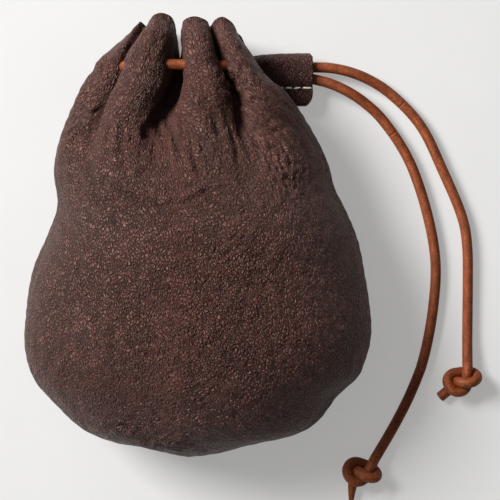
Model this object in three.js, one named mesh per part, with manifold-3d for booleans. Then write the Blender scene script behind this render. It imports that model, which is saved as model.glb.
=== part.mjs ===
// Drawstring dice bag: two leather panels with a turned seam, a leather cord threaded through the
// gathered neck, a folded leather slider stitched round both cord ends, and a knot at each cord end.
// Millimetres. The bag lies on its back panel: +Z up, +Y to the mouth, origin in the resting patch.
import * as THREE from "three";
import { mergeVertices } from "three/addons/utils/BufferGeometryUtils.js";
import Module from "manifold-3d";

const wasm = await Module();
wasm.setup();

// Leather body
const leather = 1.3; // sheet thickness
const bottomY = -56.5; // lowest point of the outline
const mouthY = 62.5; // rim height at the tips of the gathers
const seamZBottom = 18; // height of the seam plane at the bottom of the bag
const seamZMouth = 11; // and at the mouth
const seamGap = 1; // room left between the two panels for the seam thread
const flangeWidth = 3.5; // turned seam allowance
const flangeInset = 0.35; // flange starts this far inside the outline
const frontCrown = 25.5; // belly height above the seam
const backCrown = 18.5; // belly depth below the seam, flattened where it rests
const neckFrontCrown = 11; // half thickness of the gathered neck
const neckBackCrown = 8.5;
const crownRise = 36; // distance from the bottom over which the belly reaches its crown
const neckStartY = -2; // the belly starts to narrow here
const neckEndY = 46; // and has become the neck here
const frontPleat = 3.7; // half height of the gathers
const backPleat = 3;
const pleatStartY = 12; // the gathers start here
const pleatFullY = 44.9; // and have their full height here
const seamPleat = 0.35; // height of a gather at the seam, from 0 in a valley to 1 on a crest
const domePower = 2.3; // across a panel its height is (1 - |u|^power)^roundness, u = -1 to 1
const domeRoundness = 0.6;
const slackPower = 1.4; // the same for the back panel where it hangs off the table near the neck
const slackRoundness = 0.9;
const slackStartY = 15;
const slackEndY = 42;
const rimDip = 9; // how much lower the rim is between gathers
const rimStart = 0.86; // share of the length from the bottom to the rim where it starts to dip
const columns = 30;
const rows = 14;

// Crests and valleys of the gathers, as shares of the half width from the middle of the neck
const frontCrests = [-0.83, -0.36, 0.32, 0.84];
const frontValleys = [-0.61, 0.02, 0.6];
const backCrests = [-0.8, -0.3, 0.22, 0.76];
const backValleys = [-0.55, -0.04, 0.5];

// Cord
const cordRadius = 1.45;
const neckStep = 1.8; // ring spacing of the cord and its holes in the neck
const holeRadius = 1.9; // cord holes punched in the leather
const neckCordY = 50.9;
const frontCordZ = 22.4;
const backCordZ = 3.7;
const tableCordZ = 1.6;

const knotSize = [1.45, 1.15, 1.25]; // half widths of the knot's loops, in units of its path

// Slider
const sliderLeft = 16.2;
const sliderRight = 31.5;
const sliderZ = 3.9;
const strandY = [51.5, 48.3]; // centre lines of the two cords inside the slider
const sliderTopY = 54.8;
const sliderStitchY = 44.9;
const sliderBottomY = 40;
const sliderLeather = 1.15;
const sliderBore = 3.6; // height of the channel for the cords
const foldGap = 0.3; // slit left between the two layers of the flap
const stitchPitch = 2.4;
const stitchEnd = 0.8; // last hole to the end of the slider
const stitchRadius = 0.33;
const stitchHoleRadius = 0.6;

// Cord tails: pivots are where each tail bends or is lifted
const exitInset = 0.6; // the tails pivot this far inside the end of the slider
const exitX = sliderRight - exitInset + cordRadius;
const bendX = 41.8;
const upperBendY = 49.6;
const lowerBendY = 43.9;
const upperLift = [74.6, 8.5];
const lowerLift = [66.5, 0.3];
const segmentGap = 0.35; // room between two lengths of cord

const seamThreadRadius = 0.25;
const seamThreadInset = 2.2;

const leftOutline = [
  [-5, -56.5],
  [-16.5, -53.8],
  [-27, -51.8],
  [-39, -43.5],
  [-46, -35],
  [-47.9, -24],
  [-46.3, -6],
  [-41.2, 5],
  [-39.5, 13],
  [-40, 23],
  [-36, 37],
  [-30, 48],
  [-23, 56],
  [-16.6, mouthY],
];
const rightOutline = [
  [-2, -56.5],
  [8, -54.4],
  [20, -52],
  [30, -48.5],
  [41, -37],
  [46.6, -25],
  [46.3, -14],
  [42.5, 4],
  [37.2, 16.5],
  [34, 27],
  [28, 37.5],
  [19.5, 47],
  [13, 55],
  [8.8, mouthY],
];

const leatherLook = new THREE.MeshStandardMaterial({ color: 0x4f3a34, roughness: 0.62, metalness: 0 });
const cordLook = new THREE.MeshStandardMaterial({ color: 0xa5562b, roughness: 0.55, metalness: 0 });
const threadLook = new THREE.MeshStandardMaterial({ color: 0xd9ccb4, roughness: 0.8, metalness: 0 });

const smoothstep = THREE.MathUtils.smoothstep;
const point = (x, y, z) => new THREE.Vector3(x, y, z);
const flatCurve = (pairs) => new THREE.CatmullRomCurve3(pairs.map(([x, y]) => point(x, y, 0)));
const leftSide = flatCurve(leftOutline);
const rightSide = flatCurve(rightOutline);

// Height of the tilted seam plane
function seamZ(y) {
  return THREE.MathUtils.mapLinear(y, bottomY, mouthY, seamZBottom, seamZMouth);
}

// A closed geometry as a manifold solid
function solid(geometry) {
  const bare = geometry.index ? geometry.toNonIndexed() : geometry.clone();
  bare.deleteAttribute("normal");
  bare.deleteAttribute("uv");
  const merged = mergeVertices(bare, 1e-4);
  const vertProperties = merged.attributes.position.array;
  const triVerts = new Uint32Array(merged.index.array);
  return new wasm.Manifold(new wasm.Mesh({ numProp: 3, vertProperties, triVerts }));
}

// A manifold solid as a geometry
function geometryOf(body) {
  const mesh = body.getMesh();
  const geometry = new THREE.BufferGeometry();
  geometry.setAttribute("position", new THREE.BufferAttribute(mesh.vertProperties, 3));
  geometry.setIndex(new THREE.BufferAttribute(mesh.triVerts, 1));
  geometry.computeVertexNormals();
  return geometry;
}

function named(name, geometry, look) {
  const mesh = new THREE.Mesh(geometry, look);
  mesh.name = name;
  return mesh;
}

// 1 on a crest, 0 in a valley, with a smooth wave between neighbouring crests and valleys
function gather(across, crests, valleys) {
  const seams = [[-1, seamPleat], [1, seamPleat]];
  const knots = [...seams, ...crests.map((u) => [u, 1]), ...valleys.map((u) => [u, 0])];
  knots.sort((a, b) => a[0] - b[0]);
  const next = Math.max(1, knots.findIndex(([u]) => u >= across));
  const [u0, v0] = knots[next - 1];
  const [u1, v1] = knots[next];
  return THREE.MathUtils.lerp(v0, v1, smoothstep(across, u0, u1));
}

const frontPanel = {
  side: 1,
  crown: frontCrown,
  neck: neckFrontCrown,
  pleat: frontPleat,
  crests: frontCrests,
  valleys: frontValleys,
};
const backPanel = {
  side: -1,
  crown: backCrown,
  neck: neckBackCrown,
  pleat: backPleat,
  crests: backCrests,
  valleys: backValleys,
};

// Height of the panel's middle above the seam at a distance y from the bottom
function crownHeight(panel, y) {
  const rise = Math.min(1, Math.max(0, (y - bottomY) / crownRise));
  const dome = Math.sqrt(1 - (1 - rise) ** 2);
  return dome * THREE.MathUtils.lerp(panel.crown, panel.neck, smoothstep(y, neckStartY, neckEndY));
}

// A point of the panel: across runs -1..1 from left to right, along 0..1 from bottom to rim
function panelPoint(panel, across, along, inset) {
  const left = leftSide.getPointAt(along);
  const right = rightSide.getPointAt(along);
  const middle = left.clone().add(right).multiplyScalar(0.5);
  const half = right.clone().sub(left).multiplyScalar(0.5);
  const narrowed = Math.max(0.3, 1 - inset / half.length());
  const place = middle.clone().addScaledVector(half, across * narrowed);
  const fold = gather(across, panel.crests, panel.valleys);
  const strength = smoothstep(middle.y, pleatStartY, pleatFullY);
  const sideFade = 1 - Math.abs(across) ** 6;
  const slack = panel.side < 0 ? smoothstep(middle.y, slackStartY, slackEndY) : 0;
  const power = THREE.MathUtils.lerp(domePower, slackPower, slack);
  const roundness = THREE.MathUtils.lerp(domeRoundness, slackRoundness, slack);
  const bulge = (1 - Math.abs(across) ** power) ** roundness;
  const crown = Math.max(0, crownHeight(panel, middle.y) - inset) * bulge;
  const wave = panel.pleat * strength * sideFade * (2 * fold - 1);
  const lowered = inset * (1 - along) ** 12 - rimDip * (1 - fold) * smoothstep(along, rimStart, 1);
  const height = seamGap / 2 + Math.max(0, crown + wave);
  const rest = panel.side < 0 ? inset : 0;
  const z = Math.max(rest, seamZ(place.y) + panel.side * height);
  return point(place.x, place.y + lowered, z);
}

// The shell of a panel: outer skin, inner skin and the edge that joins them all round
function panelShell(panel) {
  const skin = (inset) => {
    const grid = [];
    for (let row = 0; row <= rows; row++) {
      for (let column = 0; column <= columns; column++) {
        const across = -Math.cos((Math.PI * column) / columns);
        const blended = THREE.MathUtils.lerp(across, (2 * column) / columns - 1, 0.6);
        grid.push(panelPoint(panel, blended, row / rows, inset));
      }
    }
    return grid;
  };
  const points = [...skin(0), ...skin(leather)];
  const inner = (rows + 1) * (columns + 1);
  const at = (row, column) => row * (columns + 1) + column;
  const faces = [];
  const quad = (a, b, c, d) => faces.push(a, b, c, a, c, d);
  for (let row = 0; row < rows; row++) {
    for (let column = 0; column < columns; column++) {
      const next = row + 1;
      const corners = [at(row, column), at(row, column + 1), at(next, column + 1), at(next, column)];
      quad(...corners);
      quad(...corners.map((corner) => corner + inner).reverse());
    }
  }
  const edge = (a, b) => quad(b, a, a + inner, b + inner);
  for (let column = 0; column < columns; column++) {
    edge(at(0, column), at(0, column + 1));
    edge(at(rows, column + 1), at(rows, column));
  }
  for (let row = 0; row < rows; row++) {
    edge(at(row + 1, 0), at(row, 0));
    edge(at(row, columns), at(row + 1, columns));
  }
  if (panel.side < 0) {
    faces.reverse();
  }
  const geometry = new THREE.BufferGeometry().setFromPoints(points);
  geometry.setIndex(faces);
  return solid(geometry);
}

// The outline moved inwards, from the left end of the mouth round the bottom to the right end
function insetOutline(distance, steps) {
  const stations = [...Array(steps + 1).keys()].map((i) => i / steps);
  const round = [
    ...stations.map((s) => leftSide.getPointAt(1 - s)),
    ...stations.map((s) => rightSide.getPointAt(s)),
  ];
  return round.map((here, i) => {
    const before = round[Math.max(0, i - 1)];
    const after = round[Math.min(round.length - 1, i + 1)];
    const forward = after.clone().sub(before).normalize();
    return point(here.x - forward.y * distance, here.y + forward.x * distance, 0);
  });
}

// The turned seam allowance: a flat band inside the outline, on one side of the seam plane
function seamFlange(side) {
  const outer = insetOutline(flangeInset, 18);
  const inner = insetOutline(flangeWidth, 18).reverse();
  const band = new THREE.Shape([...outer, ...inner].map(({ x, y }) => new THREE.Vector2(x, y)));
  const geometry = new THREE.ExtrudeGeometry(band, { depth: leather, bevelEnabled: false });
  const places = geometry.attributes.position;
  const base = side > 0 ? seamGap / 2 : -seamGap / 2 - leather;
  for (let i = 0; i < places.count; i++) {
    places.setZ(i, places.getZ(i) + base + seamZ(places.getY(i)));
  }
  return solid(geometry);
}

// A round cord with rounded ends, bent along a curve
function cordAlong(curve, radius, around = 10, step = 2.5) {
  const length = curve.getLength();
  const rings = Math.max(1, Math.round(length / step));
  const geometry = new THREE.CapsuleGeometry(radius, length - 2 * radius, 3, around, rings);
  const places = geometry.attributes.position;
  const moved = new THREE.Vector3();
  const up = point(0, 0, 1);
  for (let i = 0; i < places.count; i++) {
    const share = THREE.MathUtils.clamp((places.getY(i) + length / 2) / length, 0, 1);
    const forward = curve.getTangentAt(share);
    const reference = Math.abs(forward.z) > 0.95 ? point(0, 1, 0) : up;
    const side = forward.clone().cross(reference).normalize();
    const lift = side.clone().cross(forward);
    moved.copy(curve.getPointAt(share));
    moved.addScaledVector(side, places.getX(i)).addScaledVector(lift, places.getZ(i));
    places.setXYZ(i, moved.x, moved.y, moved.z);
  }
  return geometry;
}

const curveThrough = (...triples) =>
  new THREE.CatmullRomCurve3(triples.map(([x, y, z]) => point(x, y, z)), false, "centripetal");

// Cord paths in the neck
const frontRun = curveThrough(
  [-23, neckCordY, 16.5],
  [-21.5, neckCordY, 19.8],
  [-18.5, neckCordY, 21.8],
  [-14, neckCordY, frontCordZ],
  [-4, neckCordY, frontCordZ],
  [10, neckCordY, frontCordZ - 0.4],
);
const frontExit = curveThrough(
  [10.2, strandY[0], 18.6],
  [7.6, strandY[0], 14],
  [7.2, strandY[0], 9],
  [10.6, strandY[0], 4.6],
  [16, strandY[0], sliderZ],
  [22, strandY[0], sliderZ],
  [exitX, strandY[0], sliderZ],
);
const backRun = curveThrough(
  [-21, neckCordY, 13],
  [-20.8, neckCordY - 0.2, 9],
  [-17, neckCordY - 0.6, 4.6],
  [-8, neckCordY - 1, backCordZ],
  [4, strandY[1], backCordZ],
  [16, strandY[1], sliderZ],
  [24, strandY[1], sliderZ],
  [exitX, strandY[1], sliderZ],
);

// A curve that starts a little past a pivot, so the rounded ends of two cord lengths keep their gap
function afterPivot(pivot, ...rest) {
  const first = point(...pivot);
  const towards = point(...rest[0]).sub(first).normalize();
  const start = first.addScaledVector(towards, segmentGap + cordRadius);
  return curveThrough(start.toArray(), ...rest);
}

const upperExitPivot = [exitX - cordRadius, strandY[0], sliderZ];
const lowerExitPivot = [exitX - cordRadius, strandY[1], sliderZ];
const upperBendPivot = [bendX, upperBendY, sliderZ];
const lowerBendPivot = [bendX, lowerBendY, sliderZ];
const upperLiftPivot = [...upperLift, tableCordZ];
const lowerLiftPivot = [...lowerLift, tableCordZ];

const upperTail = {
  exit: afterPivot(upperExitPivot, upperBendPivot),
  bend: afterPivot(
    upperBendPivot,
    [46.8, 48, 3.2],
    [53.4, 44.6, 1.8],
    [62.2, 35.7, tableCordZ],
    [68.8, 22.7, tableCordZ],
    upperLiftPivot,
  ),
  end: afterPivot(upperLiftPivot, [75.6, 1.1, tableCordZ], [75.4, -18, tableCordZ], [75, -32.5, 2.3]),
  knot: [74, -37, 3.6],
  knotTurn: -1.95,
  tip: [66.8, -42.6, tableCordZ],
};
const lowerTail = {
  exit: afterPivot(lowerExitPivot, lowerBendPivot),
  bend: afterPivot(
    lowerBendPivot,
    [46, 41, 3.2],
    [51.2, 36.4, 1.9],
    [59.4, 23.8, tableCordZ],
    lowerLiftPivot,
  ),
  end: afterPivot(
    lowerLiftPivot,
    [65.6, -14.2, tableCordZ],
    [61.1, -35.2, tableCordZ],
    [49.8, -57, tableCordZ],
    [47.6, -59.8, 2.3],
  ),
  knot: [43.6, -63.4, 3.6],
  knotTurn: -2.5,
  tip: [42.4, -71, tableCordZ],
};

// An overhand knot: a trefoil path cut open, built from overlapping lengths of cord
function overhandKnot({ knot, knotTurn, tip, end }) {
  const size = point(...knotSize);
  const turned = (x, y) => [
    knot[0] + x * Math.cos(knotTurn) - y * Math.sin(knotTurn),
    knot[1] + x * Math.sin(knotTurn) + y * Math.cos(knotTurn),
  ];
  const on = (angle) => [
    ...turned(
      -size.x * (Math.sin(angle) + 2 * Math.sin(2 * angle)),
      size.y * (Math.cos(angle) - 2 * Math.cos(2 * angle)),
    ),
    knot[2] - size.z * Math.sin(3 * angle),
  ];
  const arc = (from, to) => {
    const angles = [...Array(7).keys()].map((i) => THREE.MathUtils.lerp(from, to, i / 6));
    return curveThrough(...angles.map(on));
  };
  const start = end.getPointAt(1).addScaledVector(end.getTangentAt(1), segmentGap + cordRadius);
  const lengths = [
    curveThrough(start.toArray(), on(0.5)),
    arc(0.45, 2.45),
    arc(2.35, 4.2),
    arc(4.1, 5.85),
    curveThrough(on(5.8), tip),
  ];
  const bodies = lengths.map((curve) => solid(cordAlong(curve, cordRadius - 0.1, 7, 2.2)));
  return geometryOf(bodies.reduce((sum, body) => sum.add(body)));
}

// A panel with its seam allowance and the holes of the cords; crumbs left between two holes fall out
function panelGeometry(panel, ...cords) {
  let body = panelShell(panel).add(seamFlange(panel.side));
  for (const cord of cords) {
    body = body.subtract(solid(cordAlong(cord, holeRadius, 9, neckStep)));
  }
  const parts = body.decompose().sort((a, b) => b.volume() - a.volume());
  return geometryOf(parts[0]);
}

// The seam thread runs inside the seam, between the two turned edges
function seamThreadGeometry() {
  const line = insetOutline(seamThreadInset, 30).slice(1, -1);
  const curve = new THREE.CatmullRomCurve3(line.map(({ x, y }) => point(x, y, seamZ(y))));
  return cordAlong(curve, seamThreadRadius, 6, 5);
}

// Cross section of the slider in the YZ plane: one strip folded round the cords
function sliderProfile() {
  const bore = sliderBore / 2;
  const skin = bore + sliderLeather;
  const slit = foldGap / 2;
  const flap = slit + sliderLeather;
  const boreTop = sliderTopY - sliderLeather - bore;
  const boreBottom = sliderStitchY + 1;
  const nip = sliderStitchY + 0.7; // the two layers meet here
  const profile = new THREE.Shape();
  profile.moveTo(sliderBottomY, slit);
  profile.lineTo(sliderBottomY, flap);
  profile.lineTo(sliderStitchY + 0.4, flap);
  profile.quadraticCurveTo(nip, skin, boreBottom + 1, skin);
  profile.lineTo(boreTop, skin);
  profile.absarc(boreTop, 0, skin, Math.PI / 2, -Math.PI / 2, true);
  profile.lineTo(boreBottom + 1, -skin);
  profile.quadraticCurveTo(nip, -skin, sliderStitchY + 0.4, -flap);
  profile.lineTo(sliderBottomY, -flap);
  profile.lineTo(sliderBottomY, -slit);
  profile.lineTo(nip, -slit);
  profile.lineTo(boreBottom, -bore);
  profile.lineTo(boreTop, -bore);
  profile.absarc(boreTop, 0, bore, -Math.PI / 2, Math.PI / 2, false);
  profile.lineTo(boreBottom, bore);
  profile.lineTo(nip, slit);
  return profile;
}

// One thread of the saddle stitch: it changes side of the flap at every hole
function stitchWave(count, phase, radius) {
  const reach = foldGap / 2 + sliderLeather + radius + 0.3;
  const start = sliderRight - stitchEnd - count * stitchPitch;
  const places = [];
  for (let i = 0; i <= count; i++) {
    const x = start + i * stitchPitch;
    const side = (i + phase) % 2 ? 1 : -1;
    places.push([x - 0.12, sliderStitchY, sliderZ - side * reach * 0.75]);
    places.push([x + 0.12, sliderStitchY, sliderZ + side * reach * 0.75]);
    places.push([x + stitchPitch * 0.3, sliderStitchY, sliderZ + side * reach]);
    places.push([x + stitchPitch * 0.7, sliderStitchY, sliderZ + side * reach]);
  }
  places.splice(-2);
  return solid(cordAlong(curveThrough(...places), radius, 4, 1.1));
}

const stitchCount = Math.floor((sliderRight - sliderLeft - 2 * stitchEnd) / stitchPitch);

function sliderGeometry() {
  const depth = sliderRight - sliderLeft;
  const options = { depth, bevelEnabled: false, curveSegments: 8 };
  const strip = new THREE.ExtrudeGeometry(sliderProfile(), options);
  strip.rotateX(Math.PI / 2);
  strip.rotateZ(Math.PI / 2);
  strip.translate(sliderLeft, 0, sliderZ);
  let body = solid(strip);
  for (let i = 0; i <= stitchCount; i++) {
    const hole = new THREE.CylinderGeometry(stitchHoleRadius, stitchHoleRadius, 8, 8);
    hole.rotateX(Math.PI / 2);
    hole.translate(sliderRight - stitchEnd - i * stitchPitch, sliderStitchY, sliderZ);
    body = body.subtract(solid(hole));
  }
  return geometryOf(body);
}

function sliderThreadGeometry() {
  const [first, second] = [0, 1].map((phase) => stitchWave(stitchCount, phase, stitchRadius));
  return geometryOf(first.add(second));
}

function cordNode(name, curve, step) {
  return named(name, cordAlong(curve, cordRadius, 9, step), cordLook.clone());
}

const bag = new THREE.Group();
bag.add(
  named("back_panel", panelGeometry(backPanel, backRun, frontExit), leatherLook.clone()),
  named("seam_thread", seamThreadGeometry(), threadLook.clone()),
  cordNode("cord_back_run", backRun, neckStep),
  cordNode("cord_front_exit", frontExit, neckStep),
);

const mouthFront = new THREE.Group();
mouthFront.add(
  named("front_panel", panelGeometry(frontPanel, frontRun), leatherLook.clone()),
  cordNode("cord_front_run", frontRun, neckStep),
);

const slider = new THREE.Group();
slider.add(
  named("slider", sliderGeometry(), leatherLook.clone()),
  named("slider_thread", sliderThreadGeometry(), threadLook.clone()),
);

function tailGroup(name, tail) {
  const group = new THREE.Group();
  group.add(
    cordNode(name + "_cord_exit", tail.exit),
    cordNode(name + "_cord_bend", tail.bend),
    cordNode(name + "_cord_end", tail.end),
    named(name + "_knot", overhandKnot(tail), cordLook.clone()),
  );
  return group;
}

bag.add(mouthFront, slider, tailGroup("upper", upperTail), tailGroup("lower", lowerTail));

export default bag;
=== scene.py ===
import math

import bpy
import numpy as np
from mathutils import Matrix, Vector, noise


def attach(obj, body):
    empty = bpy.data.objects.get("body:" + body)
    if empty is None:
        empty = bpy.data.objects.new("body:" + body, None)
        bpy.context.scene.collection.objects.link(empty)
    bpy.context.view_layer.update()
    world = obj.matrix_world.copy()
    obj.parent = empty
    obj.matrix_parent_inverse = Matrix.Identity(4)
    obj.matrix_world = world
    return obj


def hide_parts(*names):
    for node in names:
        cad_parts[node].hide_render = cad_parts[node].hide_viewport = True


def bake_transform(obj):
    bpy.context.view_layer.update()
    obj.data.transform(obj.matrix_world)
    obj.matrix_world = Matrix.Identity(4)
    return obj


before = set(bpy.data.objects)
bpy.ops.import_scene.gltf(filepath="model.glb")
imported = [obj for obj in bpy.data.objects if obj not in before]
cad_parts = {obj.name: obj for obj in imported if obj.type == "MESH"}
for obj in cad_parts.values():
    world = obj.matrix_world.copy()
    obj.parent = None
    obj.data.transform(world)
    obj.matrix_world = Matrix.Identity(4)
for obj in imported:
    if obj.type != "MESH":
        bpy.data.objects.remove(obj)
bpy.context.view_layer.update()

# A drawstring dice bag: leather panels with a gathered neck, a threaded cord with knots, and its slider.
# All shapes are worked out in millimetres and become metres when a mesh is made.
MM = 0.001

# ---- the bag's main lines, in the CAD's frame --------------------------------------------------
MOUTH_Y = 62.5
BOTTOM_Y = -56.5
SEAM_Z_BOTTOM = 18.0
SEAM_Z_MOUTH = 11.0
CORD_Y = 50.9
GATHERED_Y = 46.0        # from here on to the mouth the folds are fully formed
CROWN_RISE = 36.0        # how far from the bottom a panel's middle reaches its full height
NECK_STARTS_Y = -2.0     # where the height starts to fall towards the neck's
FRONT_CROWN, NECK_FRONT_CROWN = 25.3, 14.0
BACK_CROWN, NECK_BACK_CROWN = 18.5, 10.0
LEATHER = 1.25
SUEDE_SHIFT = 5.0        # how far the flesh side's grain lies from the skin's

# Outline of the bag in plan, from the bottom to the mouth.
LEFT_SIDE = [
    (-5, -55.9), (-16.2, -53.4), (-24.4, -51.9), (-32.2, -48.5), (-39.2, -42.0), (-45.2, -35.0),
    (-47.6, -27), (-47.5, -18), (-45.7, -5.5), (-41.8, 4), (-39.1, 12), (-40.2, 22), (-38.5, 31.5),
    (-32.9, 45), (-29.2, 50.9), (-22.5, 57.5), (-17.6, MOUTH_Y),
]
RIGHT_SIDE = [
    (-2, -56.2), (7, -54.8), (13, -53.1), (19.4, -51.7), (25.7, -50.3), (29.9, -48.5), (33.0, -46.0),
    (35.4, -42.9), (37.6, -39.9), (41.2, -36.6), (43.7, -34.0), (45.0, -30.8), (46.3, -26.5), (46.9, -21.5),
    (46.3, -14), (45.3, -7.5), (43.2, 3), (40, 11), (37.0, 17.2), (35.3, 24), (29.6, 35.3), (22.9, 44),
    (16.8, 51), (12.5, 57.2), (9.9, MOUTH_Y),
]

# Section of the gathered neck at the cord, from the left seam to the right one:
# x, height above or below the seam, how far the rim stands above its mean there, and x at the rim.
FRONT_FOLDS = [
    (-29.3, 0, -1.5, -17.8), (-28.4, 3.8, -1, -17.7), (-25.8, 6.6, -0.4, -17.2), (-22.8, 7.6, 0, -16.2),
    (-19.4, 6.0, -0.8, -15.0), (-17.6, 6.1, -2, -13.9), (-19.0, 8.6, -1.6, -14.1), (-20.4, 11.4, -0.7, -14.3),
    (-18.6, 14.0, 0.8, -13.4), (-14.4, 15.2, 1.8, -10.6), (-10.0, 13.9, 0.9, -7.5), (-7.8, 10.4, -1.2, -6.2),
    (-7.2, 5.4, -4.5, -6.0), (-6.0, 2.0, -9.5, -5.6), (-4.3, 5.4, -4.5, -5.2), (-4.1, 10.0, -2.2, -5.0),
    (-2.3, 13.4, -0.2, -4.1), (0.7, 14.4, 0.8, -1.3), (3.9, 12.8, -0.2, 1.5), (5.3, 9.8, -2.0, 2.5),
    (4.5, 6.6, -3, 2.4), (6.1, 6.4, -2.8, 2.9), (7.2, 9.4, -1.6, 3.2), (8.9, 12.0, 0.2, 4.4),
    (11.6, 12.6, 0.9, 6.3), (14.6, 10.6, -0.4, 8.7), (16.6, 6.0, -2.0, 9.8), (16.8, 0, -3.0, 9.9),
]
BACK_FOLDS = [
    (-29.4, 0, -1.5), (-28.3, -3.6, -1), (-24.6, -8.2, 0), (-20.8, -10.2, 1), (-17.4, -8.0, -1),
    (-16.0, -4.6, -5), (-14.8, -8.4, -2), (-12, -10.8, 1.5), (-8.4, -9.2, -2), (-6.2, -4.6, -9.5),
    (-4.6, -8.6, -3), (-1.8, -10.9, 1.5), (1.2, -9.0, -1), (2.6, -4.8, -5), (4.0, -8.2, -1),
    (6.8, -10.0, 1), (9.4, -7.8, 0), (10.8, -5.0, -2), (13.0, -4.6, -1.5), (15.4, -2.8, -1.8),
    (16.8, 0, -3.0),
]
FOLD_CENTRE = -6.0       # x of the deep valley in the middle of the neck, at the cord
RIM_CENTRE = -5.6        # and at the rim
FRONT_LEAN = 5.5         # how far that valley has moved to the left where it runs out in the belly
BACK_LEAN = 3.0
LEAN_Y = (31, 48)        # it moves over between these
GATHER_POWER = 1.7       # how slowly a fold grows where it starts
RIM_TUCK = 2.6           # how far the ridges turn down at the rim
TUCK_FROM, RIM_FROM = 0.955, 0.84      # shares of the rows from which they do so, and the rim rises or falls

# How far down the bag each fold of the front runs: its x at the cord, and the y where it starts.
FRONT_REACH = [(-29.4, 20), (-18.5, 6), (-12, 10), (-6, 8), (0, 10), (5, 3), (12, 5), (16.8, 15)]
BACK_REACH = 12.0

# Where the columns of the gathered neck arrive in the belly: share of the section, x over the half width.
BELLY_PLACES = [(0, -1), (0.167, -0.76), (0.306, -0.52), (0.481, -0.26), (0.639, 0.15), (0.75, 0.46),
                (0.853, 0.72), (0.917, 0.88), (1, 1)]
DOME_POWER, DOME_ROUNDNESS = 2.3, 0.6
DOME_POINTS = 2000

COLUMNS = 360
ROWS = 340

# Layers of relief in the leather: height, size across and along the hide, seed.
UNDULATIONS = [(0.9, (34, 30), 3.1), (0.45, (15, 18), 7.7)]
DRAWN_LINES = [(0.5, (4.6, 24), 11.3), (0.3, (2.2, 12), 15.9)]
FINE_RUMPLES = [(0.2, (3.6, 4.2), 21.2), (0.1, (1.9, 2.1), 25.4)]
PUFFS = [(2.4, (2.3, 3.0), 41.7), (1.0, (1.2, 1.6), 43.1)]
PUFF_MEAN = 0.5
BOTTOM_CALM = 8.0        # the undulations grow to full height over this distance from the bottom
DRAWN_Y = (2, 34)        # the drawn lines start and are fully there between these
RIM_Y, RIM_CALM = (50, 60), 0.55       # and by this share they calm down again between these

# Places where the leather is loose and crumpled: a line in plan, its half width, the height of the rumples.
LOOSE_PLACES = [
    ([(-26.5, 50), (-30, 42), (-33.5, 34), (-36, 27)], 3.2, 0.5),
    ([(9.5, 46), (13, 40), (17, 33), (21, 26), (24, 18)], 5.2, 0.62),
    ([(-24, 32), (-18, 22)], 5.0, 0.25),
    ([(-12, 30), (-3, 26), (5, 24)], 4.0, 0.28),
    ([(-22, -45), (-14, -50), (-5, -51)], 4.0, 0.3),
]
# Sharp creases pressed into the leather: a line in plan, its depth and half width.
CREASES = [
    ([(-21.7, 16.2), (-17.5, 14.4), (-12.9, 11.8), (-9.3, 11.6), (-4.4, 12.1), (0.3, 14.3), (3.9, 17.0)],
     0.55, 0.65),
    ([(13.5, 2.5), (8.4, -0.5), (4.6, -2.8)], 0.28, 0.6),
    ([(14.5, 7.0), (12.4, 4.2), (11.6, 0.5)], 0.22, 0.6),
    ([(-31, 14), (-24, 12.5), (-19, 14)], 0.3, 0.8),
    ([(-13, -49.5), (-18, -47), (-25, -46.5)], 0.3, 0.8),
    ([(-9, -53), (-14, -50.5), (-21, -50)], 0.25, 0.8),
    ([(-12.9, 37.1), (-11.1, 33), (-9.4, 29), (-8.4, 27.6)], 0.5, 0.75),
    ([(-10.2, 37.1), (-7.4, 32.2), (-5.8, 28), (-4.7, 25.3)], 0.55, 0.75),
    ([(-15.7, 35.5), (-14.3, 31.4), (-12.5, 27.6)], 0.45, 0.75),
    ([(-4.7, 25.9), (-3.9, 22.3), (-2.5, 19)], 0.4, 0.75),
    ([(1.65, 26.7), (3.4, 22.3), (3.4, 19)], 0.4, 0.75),
    ([(-6.6, 23.9), (-9.8, 19.5)], 0.35, 0.75),
    ([(-11.1, 25.9), (-13.9, 21.2), (-16.5, 18.4)], 0.35, 0.75),
    ([(-1.9, 27.5), (-0.55, 22.2), (0.8, 18.4)], 0.4, 0.75),
    ([(-20.4, 35.8), (-20.6, 29.4), (-20.9, 23.1)], 0.35, 0.9),
    ([(5.8, 39.9), (8, 33), (9.9, 26.7), (10.7, 21.2)], 0.35, 0.8),
    ([(3.9, 36.8), (5.2, 31.4), (7.2, 25.9)], 0.35, 0.8),
]
CREASE_STRENGTH = 1.15
CREASE_ENDS = 3.0        # length over which a crease fades at its ends
CREASE_LIP = 0.45        # height of the lips beside a crease, over its depth

# The turned seam: a groove, a soft ridge beside it and a pucker at every stitch.
SEAM_INSET = 1.0         # how far inside the outline the panels meet
GROOVE_DEPTH, GROOVE_WIDTH = 1.15, 0.75
RIDGE_HEIGHT, RIDGE_PLACE, RIDGE_WIDTH = 0.22, 2.6, 1.6
PUCKER_HEIGHT, PUCKER_PITCH, PUCKER_WIDTH = 0.16, 3.4, 2.2
SEAM_CALM = 6.0          # the relief grows to full height over this distance from the seam


# ---- curves and noise --------------------------------------------------------------------------
def step(low, high, value):
    """0 below low, 1 above high, smooth between."""
    t = np.clip((value - low) / (high - low), 0, 1)
    return t * t * (3 - 2 * t)


def bell(distance, width):
    """1 at distance 0, falling smoothly to almost nothing at twice the width."""
    return np.exp(-((distance / width) ** 2))


def unit(vectors):
    """The vectors at length 1."""
    return vectors / np.linalg.norm(vectors, axis=-1, keepdims=True)


def step_lengths(path):
    """Length of each step of a path."""
    return np.linalg.norm(np.diff(path, axis=0), axis=1)


def lengths_along(path):
    """Distance along a path from its start to each of its points."""
    return np.r_[0, np.cumsum(step_lengths(path))]


def running_mean(values, reach, mode, **kind):
    """Mean of each value and its neighbours up to reach places away."""
    width = 2 * reach + 1
    return np.convolve(np.pad(values, reach, mode, **kind), np.ones(width) / width, "valid")


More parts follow.
